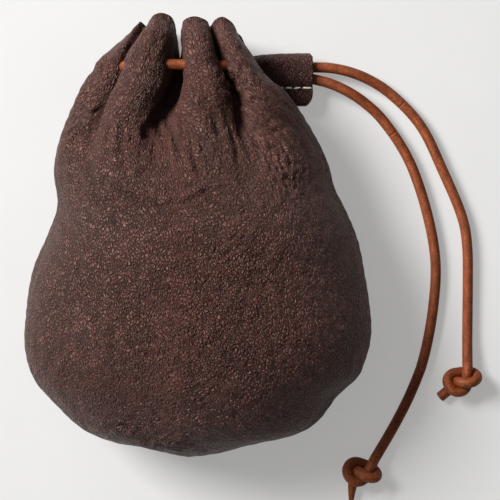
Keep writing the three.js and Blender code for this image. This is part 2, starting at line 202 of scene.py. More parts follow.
def spline(points, fine=40):
    """Dense centripetal Catmull-Rom curve through the points."""
    p = np.array(points, float)
    p = np.vstack([2 * p[0] - p[1], p, 2 * p[-1] - p[-2]])
    out = []
    for i in range(1, len(p) - 2):
        a, b, c, d = p[i - 1], p[i], p[i + 1], p[i + 2]
        t0 = 0.0
        t1 = t0 + np.linalg.norm(b - a) ** 0.5 + 1e-9
        t2 = t1 + np.linalg.norm(c - b) ** 0.5 + 1e-9
        t3 = t2 + np.linalg.norm(d - c) ** 0.5 + 1e-9
        t = np.linspace(t1, t2, fine, endpoint=False)[:, None]
        ab = (t1 - t) / (t1 - t0) * a + (t - t0) / (t1 - t0) * b
        bc = (t2 - t) / (t2 - t1) * b + (t - t1) / (t2 - t1) * c
        cd = (t3 - t) / (t3 - t2) * c + (t - t2) / (t3 - t2) * d
        abc = (t2 - t) / (t2 - t0) * ab + (t - t0) / (t2 - t0) * bc
        bcd = (t3 - t) / (t3 - t1) * bc + (t - t1) / (t3 - t1) * cd
        out.append((t2 - t) / (t2 - t1) * abc + (t - t1) / (t2 - t1) * bcd)
    return np.vstack(out + [p[-2][None]])


def evenly(curve, count, span=slice(None)):
    """count points at even distances along a dense curve, measured on the columns in span."""
    steps = step_lengths(curve[:, span])
    along = np.r_[0, np.cumsum(steps)] / steps.sum()
    wanted = np.linspace(0, 1, count)
    return np.stack([np.interp(wanted, along, column) for column in curve.T], axis=1)


def path_through(points, spacing=0.5):
    """An evenly spaced smooth path through points."""
    curve = spline(points, 60)
    return evenly(curve, max(3, int(round(step_lengths(curve).sum() / spacing)) + 1))


def field(coordinates, scale, seed):
    """Smooth noise over an array of 2-D coordinates."""
    flat = coordinates.reshape(-1, 2) / np.array(scale)
    values = [noise.noise(Vector((a, b, seed))) for a, b in flat]
    return np.array(values).reshape(coordinates.shape[:-1])


def layered(hide, layers, shift=0):
    """Sum of layers of noise over the hide."""
    return sum(height * field(hide, size, seed + shift) for height, size, seed in layers)


def distance_to(points, curve):
    """Distance in plan from grid points to the nearest point of a curve."""
    best = np.full(points.shape[:2], np.inf)
    for a in curve:
        best = np.minimum(best, np.hypot(points[..., 0] - a[0], points[..., 1] - a[1]))
    return best


# ---- the leather's surface ---------------------------------------------------------------------
def seam_z(y):
    """Height of the tilted seam plane."""
    return SEAM_Z_BOTTOM + (SEAM_Z_MOUTH - SEAM_Z_BOTTOM) * (y - BOTTOM_Y) / (MOUTH_Y - BOTTOM_Y)


LEFT_EDGE = evenly(spline(LEFT_SIDE), ROWS + 1)
RIGHT_EDGE = evenly(spline(RIGHT_SIDE), ROWS + 1)


def dome_section():
    """Half a superellipse from (-1, 0) over (0, 1) to (1, 0), evenly spaced."""
    x = -np.cos(np.linspace(0, math.pi, DOME_POINTS))
    z = (1 - np.abs(x) ** DOME_POWER) ** DOME_ROUNDNESS
    return evenly(np.stack([x, z], axis=1), DOME_POINTS)


def crown(y, belly, neck):
    """Height of the middle of a panel over the seam."""
    rise = np.clip((y - BOTTOM_Y) / CROWN_RISE, 0, 1)
    return np.sqrt(1 - (1 - rise) ** 2) * (belly + (neck - belly) * step(NECK_STARTS_Y, GATHERED_Y, y))


def rim_places(folds):
    """The folds with their x at the rim; if it isn't given it narrows evenly on each side of the valley."""
    if len(folds[0]) == 4:
        return folds
    left = (FRONT_FOLDS[0][3] - RIM_CENTRE) / (FRONT_FOLDS[0][0] - FOLD_CENTRE)
    right = (FRONT_FOLDS[-1][3] - RIM_CENTRE) / (FRONT_FOLDS[-1][0] - FOLD_CENTRE)
    return [(x, z, rim, RIM_CENTRE + (x - FOLD_CENTRE) * (left if x < FOLD_CENTRE else right))
            for x, z, rim in folds]


def dome_places(share, side):
    """Places on the belly's section for all columns; share is each one's place in the neck, from -1 to 1."""
    section = dome_section()
    along = np.linspace(0, 1, DOME_POINTS)
    even = np.linspace(0, 1, len(share))
    if side > 0:
        belly = running_mean(np.interp(even, *zip(*BELLY_PLACES)), 15, "reflect", reflect_type="odd")
        spread = np.interp(belly, section[:, 0], along)
    else:
        order = running_mean(np.maximum.accumulate(share), 12, "edge")
        spread = 0.6 * even + 0.4 * (order - order[0]) / (order[-1] - order[0])
    return [np.interp(spread, along, column)[None] for column in section.T]


def panel_surface(side):
    """Outer skin of one panel before it is wrinkled: a grid of points, rows from the bottom to the rim."""
    front = side > 0
    folds = evenly(spline(rim_places(FRONT_FOLDS if front else BACK_FOLDS)), COLUMNS + 1, slice(0, 2))
    fold_x, fold_z, rim_rise, rim_x = (column[None] for column in folds.T)
    share = fold_x - FOLD_CENTRE
    share = np.where(share < 0, share / (FOLD_CENTRE - fold_x[0, 0]), share / (fold_x[0, -1] - FOLD_CENTRE))
    across, up = dome_places(share[0], side)
    middle, half = (LEFT_EDGE + RIGHT_EDGE) / 2, (RIGHT_EDGE - LEFT_EDGE) / 2
    y = middle[:, 1:]

    crowns = (FRONT_CROWN, NECK_FRONT_CROWN) if front else (BACK_CROWN, NECK_BACK_CROWN)
    dome_x = middle[:, :1] + half[:, :1] * across
    dome_z = side * crown(y - y[0] + BOTTOM_Y, *crowns) * up

    centre = FOLD_CENTRE - (FRONT_LEAN if front else BACK_LEAN) * (1 - step(*LEAN_Y, y))
    neck_x = np.where(share < 0, centre + share * (centre - LEFT_EDGE[:, :1]),
                      centre + share * (RIGHT_EDGE[:, :1] - centre))
    to_rim = np.clip((y - CORD_Y) / (MOUTH_Y - CORD_Y), 0, 1)
    threaded_x = fold_x * (1 - to_rim) + rim_x * to_rim
    neck_x = neck_x + (threaded_x - neck_x) * step(CORD_Y - 6, CORD_Y + 3, y)
    neck_z = fold_z * (1 - 0.1 * step(CORD_Y, MOUTH_Y, y))

    starts = np.interp(fold_x, *zip(*FRONT_REACH)) if front else BACK_REACH
    gathered = np.clip((y - starts) / (GATHERED_Y - starts), 0, 1) ** GATHER_POWER
    gathered = gathered * gathered * (3 - 2 * gathered)
    x = dome_x + (neck_x - dome_x) * gathered
    z = dome_z + (neck_z - dome_z) * gathered

    along = np.linspace(0, 1, ROWS + 1)[:, None]
    z = z - side * RIM_TUCK * step(TUCK_FROM, 1.0, along) * step(0.4, 1, np.abs(fold_z) / 13)
    plan_y = y + half[:, 1:] * across + rim_rise * step(RIM_FROM, 1.0, along)
    x[:, 0], x[:, -1] = LEFT_EDGE[:, 0], RIGHT_EDGE[:, 0]
    points = np.stack([x, plan_y, seam_z(plan_y) + z], axis=2)
    if not front:
        points[..., 2] = np.maximum(points[..., 2], 0.0)
    return points


def grid_normals(points):
    """Unit normals of a grid surface, pointing up on the front."""
    normals = np.cross(np.gradient(points, axis=1), np.gradient(points, axis=0))
    return normals / np.maximum(np.linalg.norm(normals, axis=2, keepdims=True), 1e-9)


def leather_coordinates(points):
    """Place of each point on the flat hide, in millimetres."""
    across = np.linalg.norm(np.diff(points, axis=1), axis=2)
    s = np.concatenate([np.zeros((len(points), 1)), np.cumsum(across, axis=1)], axis=1)
    s = s - s[:, -1:] / 2
    along = np.linalg.norm(np.diff(points, axis=0), axis=2).mean(axis=1)
    v = np.r_[0, np.cumsum(along)][:, None] * np.ones((1, points.shape[1]))
    return np.stack([s, v], axis=2)


def seam_distance(points):
    """Distance over the leather from each point to the nearest seam."""
    du = np.linalg.norm(np.diff(points, axis=1), axis=2)
    from_left = np.concatenate([np.zeros((len(points), 1)), np.cumsum(du, axis=1)], axis=1)
    to_side = np.minimum(from_left, from_left[:, -1:] - from_left)
    dv = np.linalg.norm(np.diff(points, axis=0), axis=2)
    from_bottom = np.concatenate([np.zeros((1, points.shape[1])), np.cumsum(dv, axis=0)], axis=0)
    return np.minimum(to_side, from_bottom)


def loose_rumples(points, hide):
    """Relief of the loose, crumpled places."""
    puffs = sum(height * np.abs(field(hide, size, seed)) for height, size, seed in PUFFS) - PUFF_MEAN
    near = [height * bell(distance_to(points, path_through(line, 1.0)), width)
            for line, width, height in LOOSE_PLACES]
    return sum(near) * puffs


def sharp_creases(points, hide):
    """Relief of the creases, and how deep they are at each point, which also sets the painted shade in them.
    """
    lift, crease_shade = np.zeros(points.shape[:2]), np.zeros(points.shape[:2])
    uneven = 0.75 + 0.6 * field(hide, (4, 4), 51.0)
    for line, depth, width in CREASES:
        path = path_through(line, 0.4)
        away = distance_to(points, path) / width
        ends = distance_to(points, (path[0], path[-1]))
        deep = CREASE_STRENGTH * depth * np.clip(ends / CREASE_ENDS, 0.15, 1) * uneven
        lift = lift + deep * (CREASE_LIP * bell(away - 2.2, 1.3) - bell(away, 1.0))
        crease_shade = np.maximum(crease_shade, deep * bell(away, 0.8))
    return lift, crease_shade


def closed_seam(points):
    """The skin with its seam edge moved onto the line that both panels share."""
    fade = bell(np.arange(8), 2.5)
    for line, turn, columns in ((LEFT_EDGE, -1, range(8)), (RIGHT_EDGE, 1, range(-1, -9, -1))):
        along = unit(np.gradient(line, axis=0))
        place = line + turn * SEAM_INSET * np.stack([-along[:, 1], along[:, 0]], axis=1)
        shift = np.column_stack([place, seam_z(place[:, 1])]) - points[:, columns[0]]
        for column, share in zip(columns, fade):
            points[:, column] += shift * share
    bottom = np.linspace(points[0, 0], points[0, -1], points.shape[1])
    bottom[:, 2] = seam_z(bottom[:, 1])
    shift = bottom - points[0]
    for row, share in enumerate(fade):
        points[row] += shift * share
    return points


def wrinkled(points, side):
    """The outer skin with all its relief, and how deep it is creased at each point, which sets the painted
    shade in the creases.
    """
    hide = leather_coordinates(points)
    y = points[..., 1]
    drawn = step(*DRAWN_Y, y) * (1 - RIM_CALM * step(*RIM_Y, y))
    lift = (layered(hide, UNDULATIONS, side) * step(0, BOTTOM_CALM, y - BOTTOM_Y)
            + layered(hide, DRAWN_LINES) * drawn + layered(hide, FINE_RUMPLES))
    crease_shade = np.zeros(y.shape)
    if side > 0:
        creases, crease_shade = sharp_creases(points, hide)
        lift = lift + loose_rumples(points, hide) + creases
    from_seam = seam_distance(points)
    pucker = np.sin(hide[..., 1] * 2 * math.pi / PUCKER_PITCH + 2.0 * field(hide, (9, 9), 31.0))
    lift = (lift * step(0, SEAM_CALM, from_seam) + PUCKER_HEIGHT * pucker * bell(from_seam, PUCKER_WIDTH)
            - GROOVE_DEPTH * bell(from_seam, GROOVE_WIDTH)
            + RIDGE_HEIGHT * bell(from_seam - RIDGE_PLACE, RIDGE_WIDTH))
    out = closed_seam(points + grid_normals(points) * side * lift[..., None])
    if side < 0:
        out[..., 2] = np.maximum(out[..., 2], 0.0)
    return out, crease_shade


def inner_skin(outer, side):
    """The flesh side: the outer skin moved in by the leather's thickness and relaxed."""
    inner = outer - grid_normals(outer) * side * LEATHER
    for _ in range(12):
        middle = inner.copy()
        middle[1:-1, 1:-1] = (inner[:-2, 1:-1] + inner[2:, 1:-1] + inner[1:-1, :-2] + inner[1:-1, 2:]) / 4
        inner = middle
    return inner


# ---- meshes ------------------------------------------------------------------------------------
def grid_faces(rows, columns, offset, flip):
    """Quads of a grid of points, as an array of four indices."""
    index = offset + np.arange(rows * columns).reshape(rows, columns)
    quads = np.stack([index[:-1, :-1], index[:-1, 1:], index[1:, 1:], index[1:, :-1]], axis=2)
    quads = quads.reshape(-1, 4)
    return quads[:, ::-1] if flip else quads


def slab(outer, inner, flip):
    """Points, faces and material numbers of a sheet from its two skins."""
    rows, columns = outer.shape[:2]
    count = rows * columns
    index = np.arange(count).reshape(rows, columns)
    edges = []
    for line in (index[0], index[:, -1], index[-1][::-1], index[:, 0][::-1]):
        a, b = line[:-1], line[1:]
        edges.append(np.stack([b, a, a + count, b + count], axis=1))
    edges = np.vstack(edges)
    skin = grid_faces(rows, columns, 0, flip)
    flesh = grid_faces(rows, columns, count, not flip)
    faces = np.vstack([skin, flesh, edges[:, ::-1] if flip else edges])
    kinds = np.r_[np.zeros(len(skin)), np.ones(len(flesh) + len(edges))]
    return np.vstack([outer.reshape(-1, 3), inner.reshape(-1, 3)]), faces, kinds


def make_mesh(name, points, faces, materials, face_materials=None):
    """A mesh object in metres from points in millimetres and a list of faces."""
    mesh = bpy.data.meshes.new(name)
    mesh.from_pydata((np.asarray(points) * MM).tolist(), [], [list(map(int, f)) for f in faces])
    for material in materials:
        mesh.materials.append(material)
    if face_materials is not None:
        mesh.polygons.foreach_set("material_index", np.asarray(face_materials, np.int32))
    mesh.polygons.foreach_set("use_smooth", np.ones(len(mesh.polygons), bool))
    mesh.update()
    piece = bpy.data.objects.new(name, mesh)
    bpy.context.scene.collection.objects.link(piece)
    return piece


def store(piece, name, values):
    """A number or a vector per vertex that a material can read."""
    values = np.asarray(values, np.float32)
    kind, key = ("FLOAT", "value") if values.ndim == 1 else ("FLOAT_VECTOR", "vector")
    piece.data.attributes.new(name, kind, "POINT").data.foreach_set(key, values.ravel())


# ---- materials ---------------------------------------------------------------------------------
LEATHER_DARK, LEATHER_LIGHT = (0.006, 0.0017, 0.0012), (0.108, 0.037, 0.028)
LEATHER_SHINE = (1.0, 0.70, 0.63, 1)
SUEDE_DARK, SUEDE_LIGHT = (0.028, 0.015, 0.011, 1), (0.075, 0.042, 0.03, 1)
CORD_DARK, CORD_LIGHT = (0.07, 0.0115, 0.0035, 1), (0.37, 0.085, 0.0185, 1)
CORD_CRACK = (0.045, 0.011, 0.004, 1)
CREAM_DARK, CREAM_LIGHT = (0.5, 0.43, 0.33, 1), (0.86, 0.8, 0.7, 1)
BROWN_DARK, BROWN_LIGHT = (0.012, 0.007, 0.005, 1), (0.04, 0.024, 0.017, 1)
FLOOR_DARK, FLOOR_LIGHT = (0.31, 0.31, 0.31, 1), (0.35, 0.35, 0.35, 1)
# The floor's glow is painted light: it lifts the shadows cast on the floor.
FLOOR_GLOW, FLOOR_GLOW_STRENGTH = (1.0, 0.99, 0.97, 1), 0.33


class Nodes:
    """A small helper for building a material's node tree."""

    def __init__(self, name):
        self.material = bpy.data.materials.new(name)
        self.material.use_nodes = True
        self.tree = self.material.node_tree
        self.shader = self.tree.nodes["Principled BSDF"]

    def add(self, kind, settings=None, **inputs):
        """A node with its settings; inputs are values or other nodes' outputs, _0 being the first input."""
        node = self.tree.nodes.new("ShaderNode" + kind)
        for key, value in (settings or {}).items():
            setattr(node, key, value)
        self.put(node, **inputs)
        return node

    def put(self, node, **inputs):
        for key, value in inputs.items():
            by_number = key[0] == "_" and key[1:].isdigit()
            socket = node.inputs[int(key[1:]) if by_number else key.replace("_", " ")]
            if isinstance(value, bpy.types.NodeSocket):
                self.tree.links.new(value, socket)
            else:
                socket.default_value = value

    def finish(self, **inputs):
        """Sets the shader's inputs and gives the material."""
        self.put(self.shader, **inputs)
        return self.material

    def math(self, operation, a, b=0.0):
        return self.add("Math", {"operation": operation}, _0=a, _1=b).outputs[0]

    def times(self, a, b):
        return self.math("MULTIPLY", a, b)

    def total(self, *terms):
        """The sum of values, each times its weight."""
        out = self.times(*terms[0])
        for value, weight in terms[1:]:
            out = self.math("ADD", out, self.times(value, weight))
        return out

    def mix(self, factor, a, b):
        return self.add("Mix", {"data_type": "RGBA"}, _0=factor, _6=a, _7=b).outputs[2]

    def ramp(self, value, low, high, to_low=0.0, to_high=1.0):
        return self.add("MapRange", {"interpolation_type": "SMOOTHSTEP"},
                        _0=value, _1=low, _2=high, _3=to_low, _4=to_high).outputs[0]

    def attribute(self, name, output="Vector"):
        return self.add("Attribute", {"attribute_name": name}).outputs[output]

    def stretch(self, vector, scale):
        return self.add("Mapping", {"vector_type": "POINT"}, Vector=vector, Scale=scale).outputs[0]

    def noise(self, vector, scale, detail=3.0, rough=0.55):
        return self.add("TexNoise", Vector=vector, Scale=scale, Detail=detail, Roughness=rough).outputs[0]

    def cells(self, vector, scale):
        """Distance to the nearest border between cells."""
        return self.add("TexVoronoi", {"feature": "DISTANCE_TO_EDGE"}, Vector=vector, Scale=scale).outputs[0]

    def bump(self, height, strength, distance):
        return self.add("Bump", Height=height, Strength=strength, Distance=distance).outputs[0]


def leather_material(name, shade=1.0, grain=1.0):
    """Pebbled semi-matte brown leather. Its attributes: "hide" is the place on the flat hide in mm,
    "drawn" grows where the neck is gathered, and the third is the depth of the pressed creases, where the
    colour is darkened as painted shade."""
    n = Nodes(name)
    hide = n.attribute("hide")
    drawn = n.attribute("drawn", "Fac")
    # Depth of the pressed creases: the colour is darkened there as painted shade.
    crease_shade = n.attribute("crease_shade", "Fac")
    across = n.add("SeparateXYZ", Vector=hide).outputs[0]
    wobble = n.add("TexNoise", Vector=hide, Scale=0.35, Detail=1.0).outputs["Color"]
    space = n.add("VectorMath", {"operation": "MULTIPLY_ADD"},
                  _0=wobble, _1=(2.4, 2.4, 2.4), _2=hide).outputs[0]
    uneven = n.noise(space, 0.3, 3.0, 0.6)
    broad = n.noise(hide, 0.07, 3.0)
    fine = n.noise(space, 2.4, 3.0, 0.7)
    folds = n.noise(n.stretch(space, (0.7, 0.2, 1.0)), 1.0, 2.0, 0.5)

    # The pebbles stand upright on the left of the hide and lean over on the right.
    upright = n.stretch(space, (1.2, 0.75, 1.0))
    leaning = n.add("Mapping", {"vector_type": "TEXTURE"}, Vector=space, Rotation=(0, 0, 0.75),
                    Scale=(0.75, 1.3, 1.0)).outputs[0]
    lean = n.ramp(across, -14.0, 6.0)
    pebble = n.math("ADD", n.times(n.cells(upright, 1.35 * grain), n.math("SUBTRACT", 1.0, lean)),
                    n.times(n.cells(leaning, 1.15 * grain), lean))
    coarse = n.ramp(n.cells(space, 0.36 * grain), 0.0, n.ramp(uneven, 0.35, 0.65, 0.04, 0.2))
    top = n.ramp(pebble, 0.0, n.ramp(uneven, 0.3, 0.7, 0.16, 0.34))
    # High on the pebble tops and low in the grain's creases, where it darkens the colour as painted shade.
    grain_shade = n.ramp(pebble, 0.0, n.ramp(uneven, 0.35, 0.65, 0.07, 0.2))
    relief = n.times(n.ramp(across, -6.0, 30.0, 0.84, 0.42), n.math("SUBTRACT", 1.0, n.times(drawn, 0.4)))
    raised = n.times(top, relief)
    height = n.total((raised, 1.0), (coarse, 0.12), (fine, 0.4), (n.times(folds, drawn), 0.8))
    # Colour: painted shade in the grain's creases, the coarse cells' creases and the pressed creases; fine
    # and broad noise give the leather's own uneven tone.
    tone = n.total((grain_shade, 0.56), (coarse, 0.05), (n.math("SUBTRACT", fine, 0.5), 0.35),
                   (n.math("SUBTRACT", broad, 0.5), 0.3), (crease_shade, -0.35))
    dark, light = ([channel * shade for channel in colour] + [1] for colour in (LEATHER_DARK, LEATHER_LIGHT))
    return n.finish(Base_Color=n.mix(tone, dark, light), Sheen_Weight=0.02,
                    Roughness=n.math("SUBTRACT", 0.58, n.times(raised, 0.26)),
                    Specular_IOR_Level=0.45, Specular_Tint=LEATHER_SHINE,
                    Normal=n.bump(height, 1.0, 0.0006))


def suede_material():
    """The flesh side and the cut edges of the leather."""
    n = Nodes("suede")
    hide = n.attribute("hide")
    nap = n.noise(hide, 3.2, 5.0, 0.7)
    patch = n.noise(hide, 0.25, 2.0)
    return n.finish(Base_Color=n.mix(n.total((nap, 0.6), (patch, 0.4)), SUEDE_DARK, SUEDE_LIGHT),
                    Roughness=0.95, Sheen_Weight=0.35, Normal=n.bump(nap, 0.5, 0.0003))


def cord_material():
    """Round tan leather lace: mottled, with fine streaks along its length and small cracks across."""
    n = Nodes("cord_leather")
    along = n.attribute("cord")            # x along the cord, y and z round it, in mm
    mottle = n.noise(n.stretch(along, (0.32, 0.8, 0.8)), 1.0, 4.0, 0.65)
    streak = n.noise(n.stretch(along, (0.25, 4.5, 4.5)), 1.0, 4.0, 0.6)
    cracks = n.ramp(n.cells(n.stretch(along, (1.3, 0.5, 0.5)), 1.4), 0.0, 0.12)
    speckle = n.noise(along, 3.4, 2.0, 0.7)
    tone = n.ramp(n.total((mottle, 0.9), (streak, 0.5), (speckle, 1.1)), 0.75, 1.75)
    colour = n.mix(tone, CORD_DARK, CORD_LIGHT)
    colour = n.mix(n.times(n.math("SUBTRACT", 1.0, cracks), 0.5), colour, CORD_CRACK)
    height = n.total((streak, 0.4), (cracks, 0.35), (speckle, 0.7))
    return n.finish(Base_Color=colour, Roughness=n.ramp(mottle, 0.3, 0.7, 0.6, 0.48), Specular_IOR_Level=0.28,
                    Normal=n.bump(height, 0.5, 0.00025))


def thread_material(name, dark, light):
    """Twisted thread: fine slanting plies."""
    n = Nodes(name)
    along = n.attribute("cord")
    ply = n.add("TexWave", {"wave_type": "BANDS", "bands_direction": "DIAGONAL"}, Vector=along,
                Scale=1.1, Distortion=0.6, Detail=1.0).outputs[1]
    fuzz = n.noise(along, 6.0, 3.0)
    return n.finish(Base_Color=n.mix(n.total((ply, 0.6), (fuzz, 0.4)), dark, light), Roughness=0.75,
                    Sheen_Weight=0.3, Normal=n.bump(ply, 0.6, 0.00012))


def floor_material():
    """A plain pale surface that glows a little: painted light that lifts the shadows cast on it."""
    n = Nodes("floor")
    patch = n.noise(n.add("TexCoord").outputs["Object"], 30.0, 3.0)
    return n.finish(Base_Color=n.mix(patch, FLOOR_DARK, FLOOR_LIGHT), Roughness=0.9,
                    Emission_Color=FLOOR_GLOW, Emission_Strength=FLOOR_GLOW_STRENGTH)


BAG_LEATHER = leather_material("bag_leather")
SLIDER_LEATHER = leather_material("slider_leather", 0.95, 1.15)
SUEDE = suede_material()
CORD = cord_material()
CREAM = thread_material("cream_thread", CREAM_DARK, CREAM_LIGHT)
BROWN = thread_material("brown_thread", BROWN_DARK, BROWN_LIGHT)


# ---- cords -------------------------------------------------------------------------------------
END_ANGLES = (0.35, 0.7, 1.05, 1.4)    # where a rounded end gets extra rings


def frames_along(path):
    """Side and up vectors that turn as little as possible along a path."""
    tangent = unit(np.gradient(path, axis=0))
    up = np.array([0, 0, 1.0]) if abs(tangent[0, 2]) < 0.9 else np.array([0, 1.0, 0])
    ups = []
    for t in tangent:
        up = unit(up - t * (up @ t))
        ups.append(up)
    return np.cross(tangent, ups), np.array(ups)


def tube(path, radius, around, start, end):
    """Points, faces and cord coordinates of a tube. start and end are the lengths of its rounded ends,
    over the radius."""
    radius = np.broadcast_to(radius, len(path)).astype(float)
    along = lengths_along(path)
    extra = []
    for length, at, way in ((start, 0, 1), (end, along[-1], -1)):
        if length > 0:
            extra += [at + way * length * radius[0] * (1 - math.cos(a)) for a in END_ANGLES]
    stations = np.unique(np.r_[along, extra])
    path = np.stack([np.interp(stations, along, c) for c in path.T], axis=1)
    radius = np.interp(stations, along, radius)
    shrink = np.ones(len(stations))
    for length, gap in ((start, stations), (end, stations[-1] - stations)):
        if length > 0:
            share = np.clip(gap / (length * radius), 0, 1)
            shrink *= np.sqrt(np.clip(1 - (1 - share) ** 2, 0.004, 1))
    side, up = frames_along(path)
    angles = np.linspace(0, 2 * math.pi, around, endpoint=False)
    ring = side[:, None] * np.cos(angles)[None, :, None] + up[:, None] * np.sin(angles)[None, :, None]
    points = (path[:, None] + ring * (radius * shrink)[:, None, None]).reshape(-1, 3)
    rings = len(path)
    index = np.arange(rings * around).reshape(rings, around)
    after = np.roll(index, -1, axis=1)
    faces = np.stack([index[:-1], index[1:], after[1:], after[:-1]], axis=2).reshape(-1, 4).tolist()
    faces += [index[0].tolist(), index[-1][::-1].tolist()]
    r = float(np.mean(radius))
    place = np.stack([np.repeat(stations, around), np.tile(np.cos(angles) * r, rings),
                      np.tile(np.sin(angles) * r, rings)], axis=1)
    return points, faces, place


def cord_piece(name, paths, radius, material=CORD, around=24, start=0.0, end=0.0):
    """One piece made of one or more tubes."""
    points, faces, places = [], [], []
    for path in paths:
        ring_points, ring_faces, place = tube(path, radius, around, start, end)
        base = sum(len(p) for p in points)
        faces += [[i + base for i in face] for face in ring_faces]
        points.append(ring_points)
        places.append(place)
    piece = make_mesh(name, np.vstack(points), faces, [material])
    store(piece, "cord", np.vstack(places))
    return piece


# ---- the bag -----------------------------------------------------------------------------------
HIDE_DEPTH = 40.0        # keeps the two panels' grain apart


def make_panel(name, node, side):
    """One panel: outer skin, flesh side, and the rim and seam edges between them. Gives its outer skin."""
    smooth = panel_surface(side)
    outer, crease_shade = wrinkled(smooth, side)
    points, faces, kinds = slab(outer, inner_skin(outer, side), side < 0)
    piece = make_mesh(name, points, faces, [BAG_LEATHER, SUEDE], kinds)
    hide = leather_coordinates(smooth)
    rows_y = smooth[..., 1].mean(axis=1)
    drawn_in = 1 - 0.2 * step(12, 44, rows_y[1:])
    hide[..., 1] = np.r_[0, np.cumsum(np.diff(hide[:, 0, 1]) * drawn_in)][:, None]
    hide = hide.reshape(-1, 2)
    hide = np.column_stack([hide, np.full(len(hide), HIDE_DEPTH * side)])
    store(piece, "hide", np.vstack([hide, hide + (0, 0, SUEDE_SHIFT)]))
    store(piece, "drawn", np.tile(step(6, 44, outer[..., 1]).ravel(), 2))
    # Depth of the pressed creases, where the leather's colour is darkened as painted shade.
    store(piece, "crease_shade", np.tile(crease_shade.ravel(), 2))
    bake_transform(piece)
    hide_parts(node)
    return outer


SEAM_STITCH_SPACING = 0.25
SEAM_STITCH, SEAM_STITCH_PITCH = 10, 12          # in places along the seam
SEAM_STITCH_IN, SEAM_STITCH_RISE = 1.6, 0.5      # how far inside the seam a stitch ends, and how it bows out


def make_seam_stitches(skin):
    """Brown stitches of the turned seam, just inside the edge that the panels share."""
    edge = np.vstack([skin[:0:-1, 0], skin[0], skin[1:, -1]])
    edge = edge[np.r_[True, step_lengths(edge) > 0.02]]
    edge = evenly(edge, int(step_lengths(edge).sum() / SEAM_STITCH_SPACING))
    along = np.gradient(edge, axis=0)
    inward = unit(np.stack([-along[:, 1], along[:, 0], np.zeros(len(along))], axis=1))
    bow = np.sin(np.linspace(0, math.pi, SEAM_STITCH)) ** 0.5
    depth = (SEAM_STITCH_IN - SEAM_STITCH_RISE * bow)[:, None]
    parts = [slice(first, first + SEAM_STITCH) for first in range(8, len(edge) - 20, SEAM_STITCH_PITCH)]
    paths = [path_through(edge[part] + inward[part] * depth, 0.3) for part in parts]
    piece = cord_piece("seam_stitching", paths, 0.28, BROWN, around=8)
    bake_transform(piece)
    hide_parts("seam_thread")


# ---- drawcord ----------------------------------------------------------------------------------
CORD_RADIUS = 1.47
TABLE = CORD_RADIUS + 0.05            # height of a cord's middle where it lies on the table
UPPER_Y, LOWER_Y = 51.5, 48.3         # the two strands where they pass through the slider
SLIDER_Z = 3.9
PIVOT_X = 30.9
FRONT_RUN = [
    (-24.6, 49.6, 11.5), (-22.8, 49.7, 13.4), (-21.2, 49.9, 16.4), (-19.9, 50.2, 19.4), (-17.4, 50.4, 21.6),
    (-14, 50.4, 22.3), (-4, 50.1, 22.0), (2, 49.9, 22.0), (6.4, 50.0, 21.2), (9.2, 50.8, 18.6),
    (9.4, 51.5, 13), (10.0, 51.5, 8), (12.6, 51.5, 4.6), (16.4, 51.5, SLIDER_Z), (22, UPPER_Y, SLIDER_Z),
    (PIVOT_X + CORD_RADIUS, UPPER_Y, SLIDER_Z),
]
BACK_RUN = [
    (-24.6, 49.6, 11.5), (-24.6, 49.8, 9.2), (-21.5, 50, 6.2), (-16, 49.9, 4.4), (-8, 49.5, 3.9),
    (4, 48.3, 3.9), (16, 48.3, SLIDER_Z), (24, LOWER_Y, SLIDER_Z), (PIVOT_X + CORD_RADIUS, LOWER_Y, SLIDER_Z),
]

# Each tail: its path from the slider to the knot, the knot's place and turn, the cord's end past the knot
# from the knot's centre, whether that end is cut to a taper, and the place where the tail bends when lifted.
TAILS = {
    "upper": {
        "path": [(PIVOT_X, UPPER_Y, SLIDER_Z), (36.4, 51.3, 3.9), (41.8, 50.2, 3.8), (46.9, 48.3, 3.1),
                 (53.2, 44.5, 1.8), (61.9, 35.5, TABLE), (68.3, 22.7, TABLE), (74.1, 8.5, TABLE),
                 (75.3, 1.1, TABLE), (75.4, -18, TABLE), (75.25, -27, 1.7)],
        "knot": (75.2, -36.9), "turn": 0.0, "end": [(-4.2, -2.4, 1.5), (-8.3, -5.3, 1.5)],
        "taper": False, "lift": (74.6, 8.5),
    },
    "lower": {
        "path": [(PIVOT_X, LOWER_Y, SLIDER_Z), (36.4, 46.9, 3.9), (41.8, 44.4, 3.8), (46.1, 41.6, 3.0),
                 (51.2, 36.9, 1.9), (59.3, 24.3, TABLE), (65.9, 0.8, TABLE), (65.9, -14.2, TABLE),
                 (61.6, -35.2, TABLE), (53.2, -52.4, 1.7)],
        "knot": (46.4, -63.4), "turn": -31.0, "end": [(-2.2, -3.6, 1.5), (0.9, -9.3, 1.5)],
        "taper": True, "lift": (66.5, 0.3),
    },
}
NEAR_LENGTH = 30.0       # length of a tail up to the place where its two pieces meet
TAPER_POINTS, TAPER_TO = 14, 0.42

# An overhand knot round a cord that comes down -y: its path, with the crossing at the origin.
KNOT = [(0, 6.2, 2.2), (0, 3.6, 3.3), (0, 1.9, 4.3), (0, -0.2, 2.9), (-0.6, -1.9, 2.9), (-2.6, -2.6, 3.9),
        (-4.6, -1.5, 4.3), (-5.6, 0.4, 3.4), (-4.4, 2.0, 2.2), (-2, 2.2, 1.6), (0, 2.0, 1.5), (2.0, 1.5, 2.3),
        (3.1, 0.4, 4.0), (1.7, 0, 5.5), (0, -0.1, 6.0), (-2.0, -0.4, 4.6), (-3.1, -1.2, 2.7)]
KNOT_SPACING = 0.55


